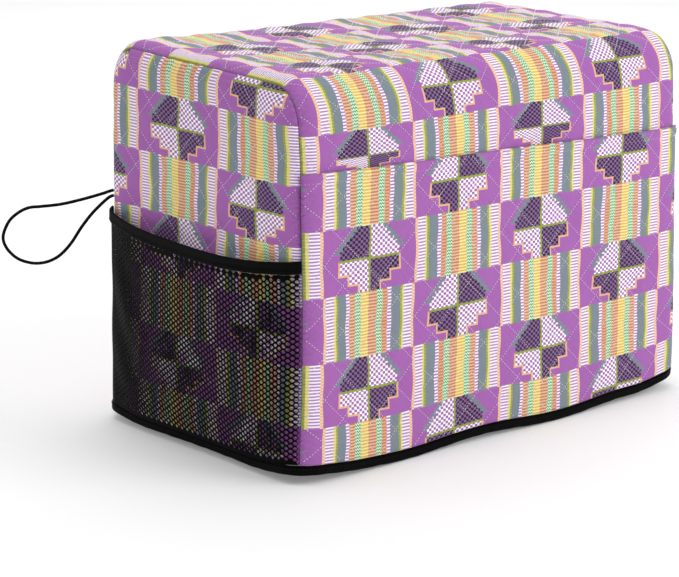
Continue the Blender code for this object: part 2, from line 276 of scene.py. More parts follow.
# Colours of the print.
PURPLE = "#A663B0"
SLATE = "#7D8993"
OLIVE = "#93A03F"
PEACH = "#EDB98A"
WHITE = "#FFFFFF"
MAUVE = "#8A619A"
BLACK = "#1C1620"

# Striped blocks: 20 dashes in 50 mm are one every 2.5 mm, and 80 folds in 96 mm give the mint
# stripes' zigzag 2.4 mm. Each stripe has its start, its ground and its dashes, and the mint ones
# also their middle and half width.
DASHES_PER_BLOCK = 20
ZIGZAG_FOLDS = 80.0
MINT_STRIPES = ((0.381, 0.031), (0.614, 0.031))
STRIPES = (
    (0.000, "#F1B582", "#F3D3B4"),
    (0.026, "#FFFBFF", "#B684C4"),
    (0.112, "#F2DF8C", "#D9D08C"),
    (0.137, "#A9B24A", OLIVE),
    (0.160, SLATE, SLATE),
    (0.245, "#FFFBFF", "#AE76BE"),
    (0.285, "#C67C55", "#E9C0A2"),
    (0.350, "#E4F3DC", "#3FA565"),
    (0.412, "#E3B45E", "#F7EA9C"),
    (0.500, "#C67C55", "#E9C0A2"),
    (0.583, "#E4F3DC", "#3FA565"),
    (0.645, "#C67C55", "#E4AF8C"),
    (0.705, "#FFFBFF", "#AE76BE"),
    (0.750, SLATE, SLATE),
    (0.845, OLIVE, "#A9B24A"),
    (0.868, "#F2DF8C", "#D9D08C"),
    (0.888, "#FFFBFF", "#B684C4"),
    (0.972, "#F1B582", "#F3D3B4"),
)

# Diamonds: 37 checks across are 2.6 mm wide, and 24 up are 2.1 mm high. STAIRS are the lower
# half's steps, as distance from the middle and depth. The upper half slopes down from its peak in
# steps of 3.5 mm. An outline is as thick up as across in a block about twice as wide as high.
CHECKS_ACROSS = 37
CHECKS_UP = 24
MOTIF_MIDDLE = 0.505
MOTIF_HALF = 0.32
STAIRS = ((0.0, 0.5), (0.11, 0.36), (0.215, 0.21), (MOTIF_HALF, 0.0))
OUTLINE = 0.016
OUTLINE_UP = 1.9
UPPER_PEAK = 0.70
UPPER_SLOPE = -1.9
UPPER_STEP = 0.036
SHADOW = 0.055
CROSS_WIDE = 0.011
CROSS_THICK = 0.018
CROSS_REACH = 0.33

# Puckers where the needle draws the cloth in: how fast they die away, how many there are along a
# diamond's side of 26 mm, and their pitch and reach at a seam, with its unevenness. The reliefs
# of slack, stitch lines and seams are weighed against each other.
PUCKER_REACH = 7
PUCKERS_PER_SIDE = 5
SEAM_PUCKER_MM = 4.6
SEAM_PUCKER_REACH_MM = 7.0
SEAM_UNEVEN_MM = 9.0
SLACK_RELIEF = 1.6
LINE_RELIEF = 0.35
SEAM_RELIEF = 0.8
CLOTH_BUMP = 0.0006

PANEL_Z = HEM_Z + HEM_TAPE + HEM_GAP
FRONT_RUN = TOP_Z - CORNER_RADIUS - PANEL_Z
CORNER_RUN = CORNER_RADIUS * math.pi / 2
TOP_RUN = DEPTH - 2 * CORNER_RADIUS
STRIP_RUN = 2 * (FRONT_RUN + CORNER_RUN) + TOP_RUN


def smooth_step(value, low, high):
    share = np.clip((value - low) / (high - low), 0.0, 1.0)
    return share * share * (3 - 2 * share)


def edge_radius(z):
    """Radius with which the cloth turns over from the strip to an end."""
    up = np.clip((z - HEM_Z) / HEIGHT, 0.0, 1.0)
    return EDGE_AT_TOP + (EDGE_AT_HEM - EDGE_AT_TOP) * (1 - up) ** 1.5


def hang(points):
    """Moves points of the stiff, straight-sided cover to where the hanging cloth has them."""
    x, y, z = np.moveaxis(np.asarray(points, float), -1, 0)
    up = np.clip((z - HEM_Z) / HEIGHT, 0.0, 1.0)
    end = np.minimum(1.0, np.abs(x) / (WIDTH / 2))
    face = np.minimum(1.0, np.abs(y) / (DEPTH / 2))
    side_x, side_y = np.sign(x) * end, np.sign(y) * face
    front = y < 0
    lean = FRONT_LEAN * smooth_step(up, LEAN_FROM, 1.0) * (LEAN_MIDDLE + LEAN_RIGHT * side_x) * face
    near_x = smooth_step(np.abs(x), WIDTH / 2 - HEM_RISE_REACH, WIDTH / 2)
    near_y = smooth_step(np.abs(y), DEPTH / 2 - HEM_RISE_REACH, DEPTH / 2)
    rise = HEM_RISE * (1 + HEM_RISE_RIGHT * side_x) * near_x * near_y * (1 - up) ** 3
    sway = HEM_WAVE * np.cos(HEM_WAVES * x + HEM_WAVE_START) - HEM_DROP
    rise += sway * (1 - end**4) * face**4 * (1 - up) ** 3 * front
    middle = (1 - end**2) * (1 - face**2)
    tilt = TOP_RIGHT_UP * side_x + TOP_BACK_UP * side_y + TOP_TWIST * side_x * side_y
    top = tilt * (1 - middle) * smooth_step(up, TILT_FROM, 1.0)
    top -= TOP_SAG * middle * smooth_step(up, SAG_FROM, 1.0)
    wave_x = WAVE * end**4 * np.sin(END_WAVES[0] * y + END_WAVES[1] * z)
    wave_y = WAVE * face**4 * np.sin(LONG_WAVES[0] * x + LONG_WAVES[1] * z)
    return np.stack((
        x * (1 - DRAW_IN_X / (WIDTH / 2) * up) + np.sign(x) * wave_x,
        y * (1 - DRAW_IN_Y / (DEPTH / 2) * up) + lean * front + np.sign(y) * wave_y,
        z + rise + top,
    ), axis=-1)


def profile(run):
    """Where the strip's outer line is, run metres up from the front hem: y, z and out direction."""
    back_start = FRONT_RUN + CORNER_RUN + TOP_RUN
    front_turn = np.clip((run - FRONT_RUN) / CORNER_RADIUS, 0, math.pi / 2)
    back_turn = np.clip((run - back_start) / CORNER_RADIUS, 0, math.pi / 2)
    flat = np.clip(run - FRONT_RUN - CORNER_RUN, 0, TOP_RUN)
    down = np.clip(run - back_start - CORNER_RUN, 0, None)
    y = -DEPTH / 2 + CORNER_RADIUS * (1 - np.cos(front_turn) + np.sin(back_turn)) + flat
    z = PANEL_Z + np.clip(run, 0, FRONT_RUN) - down
    z = z + CORNER_RADIUS * (np.sin(front_turn) - 1 + np.cos(back_turn))
    turn = front_turn + back_turn
    return y, z, -np.cos(turn), np.sin(turn)


def strip_reach(run):
    """Cloth from the middle line to the seam, at a run."""
    edge = edge_radius(profile(run)[1])
    return WIDTH / 2 - edge + edge * SEAM_ANGLE - SEAM_GAP / 2


def on_strip(across, run, lift):
    """A point of the strip: across metres of cloth from the middle, run metres from the hem."""
    y, z, out_y, out_z = profile(run)
    edge = edge_radius(z)
    half = WIDTH / 2 - edge
    turn = np.clip((np.abs(across) - half) / edge, 0, None)
    out = (edge + lift) * np.cos(turn) - edge
    x = np.sign(across) * (np.minimum(np.abs(across), half) + (edge + lift) * np.sin(turn))
    return hang(np.stack((x, y + out_y * out, z + out_z * out), axis=-1))


def pocket_run(across):
    """Distance up from the strip's front hem to the front pocket's mouth."""
    share = np.clip(across / (WIDTH / 2 - EDGE_AT_TOP), -1, 1)
    return POCKET_HEIGHT - POCKET_FALL * share / 2 - (PANEL_Z - HEM_Z)


def lattice(wide, high):
    """Quilting coordinates: a stitch line runs wherever either is a whole number."""
    return wide / DIAMOND_WIDE + high / DIAMOND_HIGH, wide / DIAMOND_WIDE - high / DIAMOND_HIGH


def pillows(wide, high):
    """Height of the wadding between stitch lines, from 0 on a line to 1 in a diamond's middle."""
    a, b = lattice(wide, high)
    return (np.abs(np.sin(math.pi * a)) * np.abs(np.sin(math.pi * b))) ** 0.8


def unevenness(u, v):
    """Slight slackness of the cloth, in metres. u and v are metres on the cloth."""
    return SLACK * sum(np.sin(p * u + q * v + shift) for p, q, shift in SLACK_WAVES) / len(SLACK_WAVES)


def grid_faces(rows, columns, closed=False):
    """Quads over a grid of points, row by row. closed joins the last column to the first."""
    wide = columns if closed else columns - 1
    row, column = np.meshgrid(np.arange(rows - 1), np.arange(wide), indexing="ij")
    after = (column + 1) % columns
    return np.stack((
        row * columns + column,
        row * columns + after,
        (row + 1) * columns + after,
        (row + 1) * columns + column,
    ), axis=-1).reshape(-1, 4)


def shell(name, outer, inner, materials, uvs):
    """A closed sheet between two grids of points (rows, columns, 3). The inside has slot 1."""
    rows, columns = outer.shape[:2]
    face = grid_faces(rows, columns)
    count = rows * columns
    border = np.concatenate((
        np.arange(columns),
        np.arange(2, rows + 1) * columns - 1,
        np.arange(columns * rows - 2, columns * (rows - 1) - 1, -1),
        np.arange(rows - 2, 0, -1) * columns,
    ))
    after = np.roll(border, -1)
    rim = np.stack((after, border, border + count, after + count), axis=-1)
    faces = np.vstack((face, face[:, ::-1] + count, rim))
    points = np.vstack((outer.reshape(-1, 3), inner.reshape(-1, 3)))
    slots = np.concatenate((np.zeros(len(face)), np.ones(len(face)), np.zeros(len(rim))))
    doubled = {key: np.vstack((uv.reshape(-1, 2),) * 2) for key, uv in uvs.items()}
    return add_mesh(name, points, faces, materials, doubled, slots)


def stitches(name, surface, wide, high, material):
    """Lockstitches as one piece. surface(wide, high, lift) gives points of the cloth.

    wide and high are (start, middle, end) of every stitch, as arrays.
    """
    begin, top, end = (surface(w, h, lift) for w, h, lift in zip(wide, high, STITCH_LIFTS))
    under = surface(wide[1], high[1], STITCH_UNDER)
    beside = np.cross(end - begin, top - under)
    beside *= STITCH_THICK / 2 / np.linalg.norm(beside, axis=1)[:, None]
    centre = (top + under) / 2
    points = np.stack((begin, end, top, centre + beside, under, centre - beside), axis=1)
    one = np.array((
        *((0, 2, 3), (0, 3, 4), (0, 4, 5), (0, 5, 2)),
        *((1, 3, 2), (1, 4, 3), (1, 5, 4), (1, 2, 5)),
    ))
    faces = (np.arange(len(points)) * 6)[:, None, None] + one[None]
    return add_mesh(name, points.reshape(-1, 3), faces.reshape(-1, 3), material)


def stitch_row(start, end):
    """(start, middle, end) of the stitches along a row, in metres along it."""
    first = np.arange(start, end, STITCH_PITCH)
    return [first + STITCH_PITCH * part for part in (0.0, STITCH_SHARE / 2, STITCH_SHARE)]


def quilting(name, surface, inside, centre, material):
    """The stitches along all quilting lines where inside(wide, high) holds.

    centre is where two lines cross, and inside also takes arrays.
    """
    per_side = round(math.hypot(DIAMOND_WIDE, DIAMOND_HIGH) / 2 / STITCH_PITCH)
    lines = int((WIDTH + STRIP_RUN) / min(DIAMOND_WIDE, DIAMOND_HIGH))
    start = np.arange(-lines * per_side, lines * per_side) / per_side
    fixed, moving = (part.ravel() for part in np.meshgrid(np.arange(-lines, lines), start))
    wide, high = [], []
    for share in (0.0, STITCH_SHARE / 2, STITCH_SHARE):
        along = moving + share / per_side
        a, b = np.concatenate((fixed, along)), np.concatenate((along, fixed))
        wide.append((a + b) / 2 * DIAMOND_WIDE + centre[0])
        high.append((a - b) / 2 * DIAMOND_HIGH + centre[1])
    kept = inside(wide[1], high[1])
    return stitches(name, surface, [w[kept] for w in wide], [h[kept] for h in high], material)


def printed_cloth(name):
    """Polyester printed in blocks: flat, matt colours, and a faint sheen from its brushed face.

    Fine puckers and slackness make the light on it uneven, so it reads as quilted cloth. UV layer
    print counts blocks, quilting counts stitch lines, and seam has millimetres from the nearest
    seam and along it.
    """
    material, tree, shader = new_material(name, 0.78, gloss=0.3)
    uv = add_node(tree, "UVMap", uv_map="print")
    u = add_node(tree, "SeparateXYZ", uv)
    v = add_node(tree, "SeparateXYZ", uv, out=1)
    column = add_node(tree, "Math", u, operation="FLOOR")
    row = add_node(tree, "Math", v, operation="FLOOR")
    odd = add_node(tree, "Math", column, 2.0, operation="FLOORED_MODULO")
    both = add_node(tree, "Math", column, row, operation="ADD")
    is_motif = add_node(tree, "Math", both, 2.0, operation="FLOORED_MODULO")
    plain_across = add_node(tree, "Math", u, column, operation="SUBTRACT")
    up = add_node(tree, "Math", v, row, operation="SUBTRACT")
    mirrored = add_node(tree, "Math", 1.0, plain_across, operation="SUBTRACT")
    across = add_node(tree, "Mix", odd, None, plain_across, mirrored)

    # Stripes: every band is a row of short dashes across it, slanted in the mint ones.
    grounds = [(start, linear(main)) for start, main, _ in STRIPES]
    dashes = [(start, linear(dash)) for start, _, dash in STRIPES]
    ground = add_node(tree, "ValToRGB", across, stops=grounds)
    thread = add_node(tree, "ValToRGB", across, stops=dashes)
    fine = add_node(tree, "Math", across, ZIGZAG_FOLDS, operation="MULTIPLY")
    folded = add_node(tree, "Math", fine, 1.0, operation="PINGPONG")
    slant = add_node(tree, "Math", folded, 0.5, operation="MULTIPLY")
    mint = [add_node(tree, "Math", across, *stripe, operation="COMPARE") for stripe in MINT_STRIPES]
    in_mint = add_node(tree, "Math", *mint, operation="ADD")
    step = add_node(tree, "Math", up, DASHES_PER_BLOCK, operation="MULTIPLY")
    slanted = add_node(tree, "Math", slant, in_mint, step, operation="MULTIPLY_ADD")
    phase = add_node(tree, "Math", slanted, operation="FRACT")
    is_dash = add_node(tree, "Math", phase, 0.5, operation="LESS_THAN")
    stripe = add_node(tree, "MixRGB", is_dash, ground, thread)

    # Motif: a stepped diamond in four checked quarters, its lower half in three steps with an
    # outline, its upper half in many small ones with a slate shadow, parted by an olive cross.
    aside = add_node(tree, "Math", across, MOTIF_MIDDLE, operation="SUBTRACT")
    wide = add_node(tree, "Math", aside, operation="ABSOLUTE")
    above = add_node(tree, "Math", up, 0.5, operation="SUBTRACT")
    below = add_node(tree, "Math", above, -1.0, operation="MULTIPLY")
    is_low = add_node(tree, "Math", below, 0.0, operation="GREATER_THAN")
    halves = []
    for grow in (0.0, OUTLINE):
        stairs = [(0.0, (STAIRS[0][1],) * 3 + (1.0,))]
        for begin, depth in STAIRS[1:]:
            down = depth + grow * OUTLINE_UP if depth else 0.0
            stairs.append((begin + grow, (down,) * 3 + (1.0,)))
        depths = add_node(tree, "ValToRGB", wide, stops=stairs)
        within = add_node(tree, "Math", below, depths, operation="LESS_THAN")
        halves.append(add_node(tree, "Math", is_low, within, operation="MULTIPLY"))
    lower, outline = halves
    halves = []
    for shift in (0.0, SHADOW):
        moved = add_node(tree, "Math", wide, shift, operation="SUBTRACT")
        stepped = add_node(tree, "Math", moved, UPPER_STEP, operation="SNAP")
        height = add_node(tree, "Math", stepped, UPPER_SLOPE, UPPER_PEAK, operation="MULTIPLY_ADD")
        under = add_node(tree, "Math", above, height, operation="LESS_THAN")
        near = add_node(tree, "Math", wide, MOTIF_HALF + shift, operation="LESS_THAN")
        inside = add_node(tree, "Math", under, near, operation="MULTIPLY")
        over = add_node(tree, "Math", above, 2 * shift, operation="GREATER_THAN")
        halves.append(add_node(tree, "Math", inside, over, operation="MULTIPLY"))
    upper, shadow = halves
    p = add_node(tree, "Math", aside, CHECKS_ACROSS, operation="MULTIPLY")
    q = add_node(tree, "Math", above, CHECKS_UP, operation="MULTIPLY")
    cell_across = add_node(tree, "Math", p, operation="FLOOR")
    cell_up = add_node(tree, "Math", q, operation="FLOOR")
    crossed = add_node(tree, "Math", cell_across, cell_up, operation="ADD")
    check = add_node(tree, "Math", crossed, 2.0, operation="FLOORED_MODULO")
    quarter = add_node(tree, "Math", aside, above, operation="MULTIPLY")
    is_dark = add_node(tree, "Math", quarter, 0.0, operation="LESS_THAN")
    light_check = add_node(tree, "MixRGB", check, linear(PURPLE), linear(WHITE))
    dark_check = add_node(tree, "MixRGB", check, linear(MAUVE), linear(BLACK))
    checks = add_node(tree, "MixRGB", is_dark, light_check, dark_check)
    in_half = add_node(tree, "Math", lower, upper, operation="MAXIMUM")
    cross_wide = add_node(tree, "Math", wide, CROSS_WIDE, operation="LESS_THAN")
    cross_level = add_node(tree, "Math", above, 0.0, CROSS_THICK, operation="COMPARE")
    cross_end = add_node(tree, "Math", wide, CROSS_REACH, operation="LESS_THAN")
    cross_tall = add_node(tree, "Math", cross_level, cross_end, operation="MULTIPLY")
    cross = add_node(tree, "Math", cross_wide, cross_tall, operation="MAXIMUM")
    motif = add_node(tree, "MixRGB", shadow, linear(PURPLE), linear(SLATE))
    motif = add_node(tree, "MixRGB", outline, motif, linear(PEACH))
    motif = add_node(tree, "MixRGB", in_half, motif, checks)
    motif = add_node(tree, "MixRGB", cross, motif, linear(OLIVE))
    colour = add_node(tree, "MixRGB", is_motif, stripe, motif)
    tree.links.new(colour, shader.inputs["Base Color"])

    # Relief too fine for the mesh: puckers beside stitch lines and seams, and slack between.
    quilted = add_node(tree, "UVMap", uv_map="quilting")
    a = add_node(tree, "SeparateXYZ", quilted)
    b = add_node(tree, "SeparateXYZ", quilted, out=1)
    relief = []
    for line, along in ((a, b), (b, a)):
        off = add_node(tree, "Math", line, 0.5, operation="PINGPONG")
        fading = add_node(tree, "Math", off, -PUCKER_REACH, operation="MULTIPLY")
        near = add_node(tree, "Math", fading, operation="EXPONENT")
        turn = add_node(tree, "Math", along, 2 * math.pi * PUCKERS_PER_SIDE, operation="MULTIPLY")
        ripple = add_node(tree, "Math", turn, operation="SINE")
        relief.append(add_node(tree, "Math", near, ripple, operation="MULTIPLY"))
    at_seam = add_node(tree, "UVMap", uv_map="seam")
    from_seam = add_node(tree, "SeparateXYZ", at_seam)
    along_seam = add_node(tree, "SeparateXYZ", at_seam, out=1)
    smooth = {"Scale": 0.12, "Detail": 2.0}
    uneven = add_node(tree, "TexNoise", at_seam, named=smooth, noise_dimensions="2D")
    shifted = add_node(tree, "Math", uneven, SEAM_UNEVEN_MM, along_seam, operation="MULTIPLY_ADD")
    turn = add_node(tree, "Math", shifted, 2 * math.pi / SEAM_PUCKER_MM, operation="MULTIPLY")
    ripple = add_node(tree, "Math", turn, operation="SINE")
    fading = add_node(tree, "Math", from_seam, -1 / SEAM_PUCKER_REACH_MM, operation="MULTIPLY")
    near = add_node(tree, "Math", fading, operation="EXPONENT")
    seam_relief = add_node(tree, "Math", near, ripple, operation="MULTIPLY")
    loose = {"Scale": 3.0, "Detail": 5.0, "Distortion": 0.6}
    slack = add_node(tree, "TexNoise", quilted, named=loose, noise_dimensions="2D")
    lines = add_node(tree, "Math", *relief, operation="ADD")
    height = add_node(tree, "Math", slack, SLACK_RELIEF, operation="MULTIPLY")
    height = add_node(tree, "Math", lines, LINE_RELIEF, height, operation="MULTIPLY_ADD")
    height = add_node(tree, "Math", seam_relief, SEAM_RELIEF, height, operation="MULTIPLY_ADD")
    bump = add_node(tree, "Bump", named={"Height": height, "Distance": CLOTH_BUMP})
    tree.links.new(bump, shader.inputs["Normal"])
    shader.inputs["Sheen Weight"].default_value = 0.08
    return material


print_material = printed_cloth("printed quilted polyester")
# Plain and matt, it makes the inside pale.
backing, _, _ = new_material("white polyester backing", 0.85, "#E9E7E4")
# A little glossier than the cloth, so the stitches read as bright dashes.
thread_material, _, _ = new_material("white polyester thread", 0.5, "#F4F0F4")


def strip_lift(across, run):
    """How far the quilted strip swells off its stiff form. It lies flat under the pocket."""
    seam = np.minimum(strip_reach(run) - np.abs(across), np.minimum(run, STRIP_RUN - run))
    over = run - pocket_run(across)
    free = smooth_step(over, *MOUTH_PRESS)
    pillow = PILLOW * pillows(across - LATTICE_WIDE, run - LATTICE_HIGH)
    swell = pillow * smooth_step(seam, 0.0, SEAM_FLAT)
    return free * (swell + unevenness(across, run) * smooth_step(seam, 0.0, SLACK_FLAT))


run = np.linspace(0, STRIP_RUN, int(STRIP_RUN / GRID_M))[:, None]
across = np.linspace(-1, 1, int(2 * float(strip_reach(0.0)) / GRID_M))[None] * strip_reach(run)
run = np.broadcast_to(run, across.shape)
over_hem = run + PANEL_Z - HEM_Z
mouth = pocket_run(across) + PANEL_Z - HEM_Z
blocks_across = (across - BLOCK_RIGHT) / BLOCK_WIDE + 2
blocks_up = np.select(
    ((over_hem > BLOCK_UP) | (np.floor(blocks_across) % 2 == 1), over_hem > CROSS_UP),
    ((over_hem - BLOCK_UP) / BLOCK_HIGH, (over_hem - BLOCK_UP) / (BLOCK_UP - CROSS_UP) / 2),
    -0.5 - (CROSS_UP - over_hem) / (CROSS_UP - mouth) / 2,
)
strip = shell(
    "printed_strip",
    on_strip(across, run, strip_lift(across, run)),
    on_strip(across, run, -CLOTH),
    (print_material, backing),
    {
        "print": np.stack((blocks_across, blocks_up), axis=-1),
        "quilting": np.stack(lattice(across - LATTICE_WIDE, run - LATTICE_HIGH), axis=-1),
        "seam": np.stack(((strip_reach(run) - np.abs(across)) * 1000, run * 1000), axis=-1),
    },
)
strip_stitches = quilting(
    "strip_quilting",
    lambda wide, high, lift: on_strip(wide, high, strip_lift(wide, high) + lift),
    lambda wide, high: (
        (high > pocket_run(wide) + STITCH_OFF_HEM)
        & (high < STRIP_RUN - STITCH_OFF_HEM)
        & (np.abs(wide) < strip_reach(np.clip(high, 0, STRIP_RUN)) - STITCH_OFF_SEAM)
    ),
    (LATTICE_WIDE, LATTICE_HIGH),
    thread_material,
)
for piece in (strip, strip_stitches):
    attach(piece, "root")
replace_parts(strip, "wrap_panel")

# Ends
# Two panels of the same quilting with rounded top corners, sewn to the strip face to face. Their
# print runs on its own, a little wider than on the strip.

END_BLOCK_WIDE = 0.1023
END_BLOCK_HIGH = 0.0479
END_BLOCK_FRONT = 0.1263
END_BLOCK_UP = 0.2800
END_CORNER_ROWS = 18
LATTICE_END = 0.007


def end_depth(y, z):
    """How far inside an end's flat outline a point of it lies, with the outward direction."""
    q_y = np.abs(y) - (DEPTH / 2 - CORNER_RADIUS)
    q_z = z - (TOP_Z - CORNER_RADIUS)
    far = np.hypot(np.maximum(q_y, 0), np.maximum(q_z, 0))
    depth = CORNER_RADIUS - far - np.minimum(np.maximum(q_y, q_z), 0)
    in_corner = (q_y > 0) & (q_z > 0)
    away = np.maximum(far, 1e-9)
    out_y = np.where(in_corner, q_y / away, (q_y >= q_z) * 1.0) * np.sign(y)
    out_z = np.where(in_corner, q_z / away, (q_y < q_z) * 1.0)
    return depth, out_y, out_z


def on_end(side, y, z, lift):
    """A point of an end: y and z of its flat outline, side -1 at the left and 1 at the right."""
    edge = edge_radius(z)
    depth, out_y, out_z = end_depth(y, z)
    lean = np.clip((edge - depth) / edge, 0.0, 1.0)
    x = side * (WIDTH / 2 - edge + (edge + lift) * np.sqrt(1 - lean**2))
    return hang(np.stack((x, y + lift * lean * out_y, z + lift * lean * out_z), axis=-1))


def end_half(z):
    """Half the width of an end at a height, at its seam."""
    inset = edge_radius(z) * (1 - math.cos(SEAM_ANGLE)) + SEAM_GAP / 3
    over = np.clip(z - (TOP_Z - CORNER_RADIUS), 0, None)
    return DEPTH / 2 - CORNER_RADIUS + np.sqrt(np.maximum((CORNER_RADIUS - inset) ** 2 - over**2, 0))


def end_seam(y, z):
    """Distance from an end's seams."""
    return end_depth(y, z)[0] - edge_radius(z) * (1 - math.cos(SEAM_ANGLE))


def end_lift(side, y, z):
    """How far the quilted end swells off its stiff form."""
    seam = np.minimum(end_seam(y, z), z - PANEL_Z)
    pillow = PILLOW * pillows(y - LATTICE_END, z - HEM_Z - LATTICE_END)
    swell = pillow * smooth_step(seam, 0.0, SEAM_FLAT)
    return swell + unevenness(y + side, z) * smooth_step(seam, 0.0, SLACK_FLAT)


def make_end(name, side):
    """One end, with its stitches."""
    arc_low = TOP_Z - CORNER_RADIUS
    inset = EDGE_AT_TOP * (1 - math.cos(SEAM_ANGLE)) + SEAM_GAP / 3
    turn = np.linspace(0, math.pi / 2, END_CORNER_ROWS)
    straight = np.arange(PANEL_Z, arc_low, GRID_M)
    z = np.concatenate((straight, arc_low + (CORNER_RADIUS - inset) * np.sin(turn)))[:, None]
    half = end_half(z)
    half[-1] = DEPTH / 2 - CORNER_RADIUS
    y = np.linspace(-1, 1, int(DEPTH / GRID_M))[None] * half * side
    z = np.broadcast_to(z, y.shape)
    blocks_across = (y + END_BLOCK_FRONT) / END_BLOCK_WIDE * side
    panel = shell(
        name,
        on_end(side, y, z, end_lift(side, y, z)),
        on_end(side, y, z, -CLOTH),
        (print_material, backing),
        {
            "print": np.stack((blocks_across, (z - HEM_Z - END_BLOCK_UP) / END_BLOCK_HIGH), axis=-1),
            "quilting": np.stack(lattice(y - LATTICE_END, z - HEM_Z - LATTICE_END), axis=-1),
            "seam": np.stack((end_seam(y, z) * 1000, z * 1000), axis=-1),
        },
    )
    sewing = quilting(
        name + "_quilting",
        lambda wide, high, lift: on_end(side, wide, high, end_lift(side, wide, high) + lift),
        lambda wide, high: (
            (high > PANEL_Z + STITCH_OFF_HEM)
            & (high < TOP_Z - inset - STITCH_OFF_HEM)
            & (end_seam(wide, high) > STITCH_OFF_SEAM)
        ),
        (LATTICE_END, HEM_Z + LATTICE_END),
        thread_material,
    )
    for piece in (panel, sewing):
        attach(piece, "root")
    return panel


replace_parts(make_end("left_end", -1), "left_side_panel")
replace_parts(make_end("right_end", 1), "right_side_panel")

# Front pocket
# A panel of the same quilting laid over the front, caught in both end seams and under the hem
# tape. Its mouth is turned in once and topstitched, and its print doesn't meet the strip's.

POCKET_CLOTH = 0.0022
MOUTH_TURN = 0.0075
MOUTH_ROLL = 0.0010
MOUTH_FADE = 0.009
STITCH_OFF_MOUTH = 0.001
POCKET_BLOCK_WIDE = 0.0954
POCKET_BLOCK_HIGH = 0.0512
POCKET_BLOCK_RIGHT = -0.0060
POCKET_BLOCK_UP = 0.1930
POCKET_BLOCK_FALL = 0.025


def pocket_lift(across, run):
    """How far the pocket swells off its stiff form, with the rounded band along its mouth."""
    below = pocket_run(across) - run
    seam = np.minimum(strip_reach(run) - np.abs(across), run)
    quilted = smooth_step(below, MOUTH_TURN, MOUTH_TURN + MOUTH_FADE) * smooth_step(seam, 0.0, SEAM_FLAT)
    band = MOUTH_ROLL * np.sqrt(np.clip(1 - (2 * below / MOUTH_TURN - 1) ** 2, 0, 1))
    swell = PILLOW * pillows(across - LATTICE_WIDE, run - LATTICE_HIGH) * quilted
    return swell + band + unevenness(across + 0.4, run) * smooth_step(seam, 0.0, SLACK_FLAT)


def on_pocket(across, run, lift):
    """A point of the pocket, lift metres off its outer face."""
    return on_strip(across, run, LAYER_GAP + POCKET_CLOTH + lift)


share = np.linspace(0, 1, int(POCKET_HEIGHT / GRID_M * 1.2))[:, None]
across = np.linspace(-1, 1, int(2 * float(strip_reach(0.0)) / GRID_M))[None] * float(strip_reach(0.1))
run = share * pocket_run(across)
across = np.broadcast_to(across, run.shape)
over_hem = run + PANEL_Z - HEM_Z
fall = POCKET_BLOCK_FALL * across * (over_hem / POCKET_HEIGHT) ** 2
pocket = shell(
    "printed_pocket",
    on_pocket(across, run, pocket_lift(across, run)),
    on_pocket(across, run, -POCKET_CLOTH),
    (print_material, backing),
    {
        "print": np.stack((
            (across - POCKET_BLOCK_RIGHT) / POCKET_BLOCK_WIDE + 2,
            (over_hem + fall - POCKET_BLOCK_UP) / POCKET_BLOCK_HIGH,
        ), axis=-1),
        "quilting": np.stack(lattice(across - LATTICE_WIDE, run - LATTICE_HIGH), axis=-1),
        "seam": np.stack(((strip_reach(run) - np.abs(across)) * 1000, run * 1000), axis=-1),
    },
)
pocket_stitches = quilting(
    "pocket_quilting",
    lambda wide, high, lift: on_pocket(wide, high, pocket_lift(wide, high) + lift),
    lambda wide, high: (
        (high > STITCH_OFF_HEM)
        & (high < pocket_run(wide) - STITCH_OFF_MOUTH)
        & (np.abs(wide) < strip_reach(np.clip(high, 0, STRIP_RUN)) - STITCH_OFF_SEAM)
    ),
    (LATTICE_WIDE, LATTICE_HIGH),
    thread_material,
)
mouth_reach = float(strip_reach(0.2))
wide = stitch_row(-mouth_reach + STITCH_OFF_HEM, mouth_reach - 2 * STITCH_OFF_HEM)
mouth_stitches = stitches(
    "pocket_mouth_topstitch",
    lambda wide, high, lift: on_pocket(wide, high, pocket_lift(wide, high) + lift),
    wide,
    [pocket_run(part) - MOUTH_TURN for part in wide],
    thread_material,
)
for piece in (pocket, pocket_stitches, mouth_stitches):
    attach(piece, "root")
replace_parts(pocket, "front_pocket")

# Net pocket
# Black warp-knitted polyester net with staggered six-sided holes, sewn into both seams of the left
# end and under the hem tape. It stands off the end and hangs in shallow folds towards the back.

NET_HEIGHT = 0.1745
NET_HEIGHT_BACK = 0.178
NET_SAG = 0.006
NET_BULGE = 0.016
NET_BULGE_AT_HEM = 0.35
NET_BULGE_FULL_AT = 0.62
NET_THICK = 0.0006
NET_TAPE = 0.010
NET_COLUMNS = 18

# Folds of the slack net: size, where they set in from front to back, and steepness up, along and
# of their bend.
NET_FOLD = 0.0011
FOLD_FROM = (0.45, 0.9)
FOLD_UP = 95
FOLD_ALONG = 40
FOLD_BEND = 3
FOLD_BENDS = 30

# Cells of the net: pitch along a row, step from row to row, and the corner points of a cell in mm.
# Cells nearer an edge than the margin have no hole. The hole's share of its cell opens at the
# front and closes at the back, where the net is slack.
CELL_WIDE = 0.0066
CELL_STEP = 0.00225
CELL_POINTS = (
    (2.417, 0),
    (0.883, 2.25),
    (-0.883, 2.25),
    (-2.417, 0),
    (-0.883, -2.25),
    (0.883, -2.25),
)
NET_MARGIN = 0.001
HOLE_WIDE = 0.66
HOLE_HIGH = 0.56
HOLE_SHARES = (0.0, 0.72, 1.0)
HOLE_OPENED = (1.15, 1.12, 0.35)


def net_mouth(share):
    """Height of the net pocket's mouth over the hem, share of the way from front to back."""
    straight = NET_HEIGHT + (NET_HEIGHT_BACK - NET_HEIGHT) * share
    return straight - NET_SAG * (1 - np.abs(2 * share - 1) ** 3)


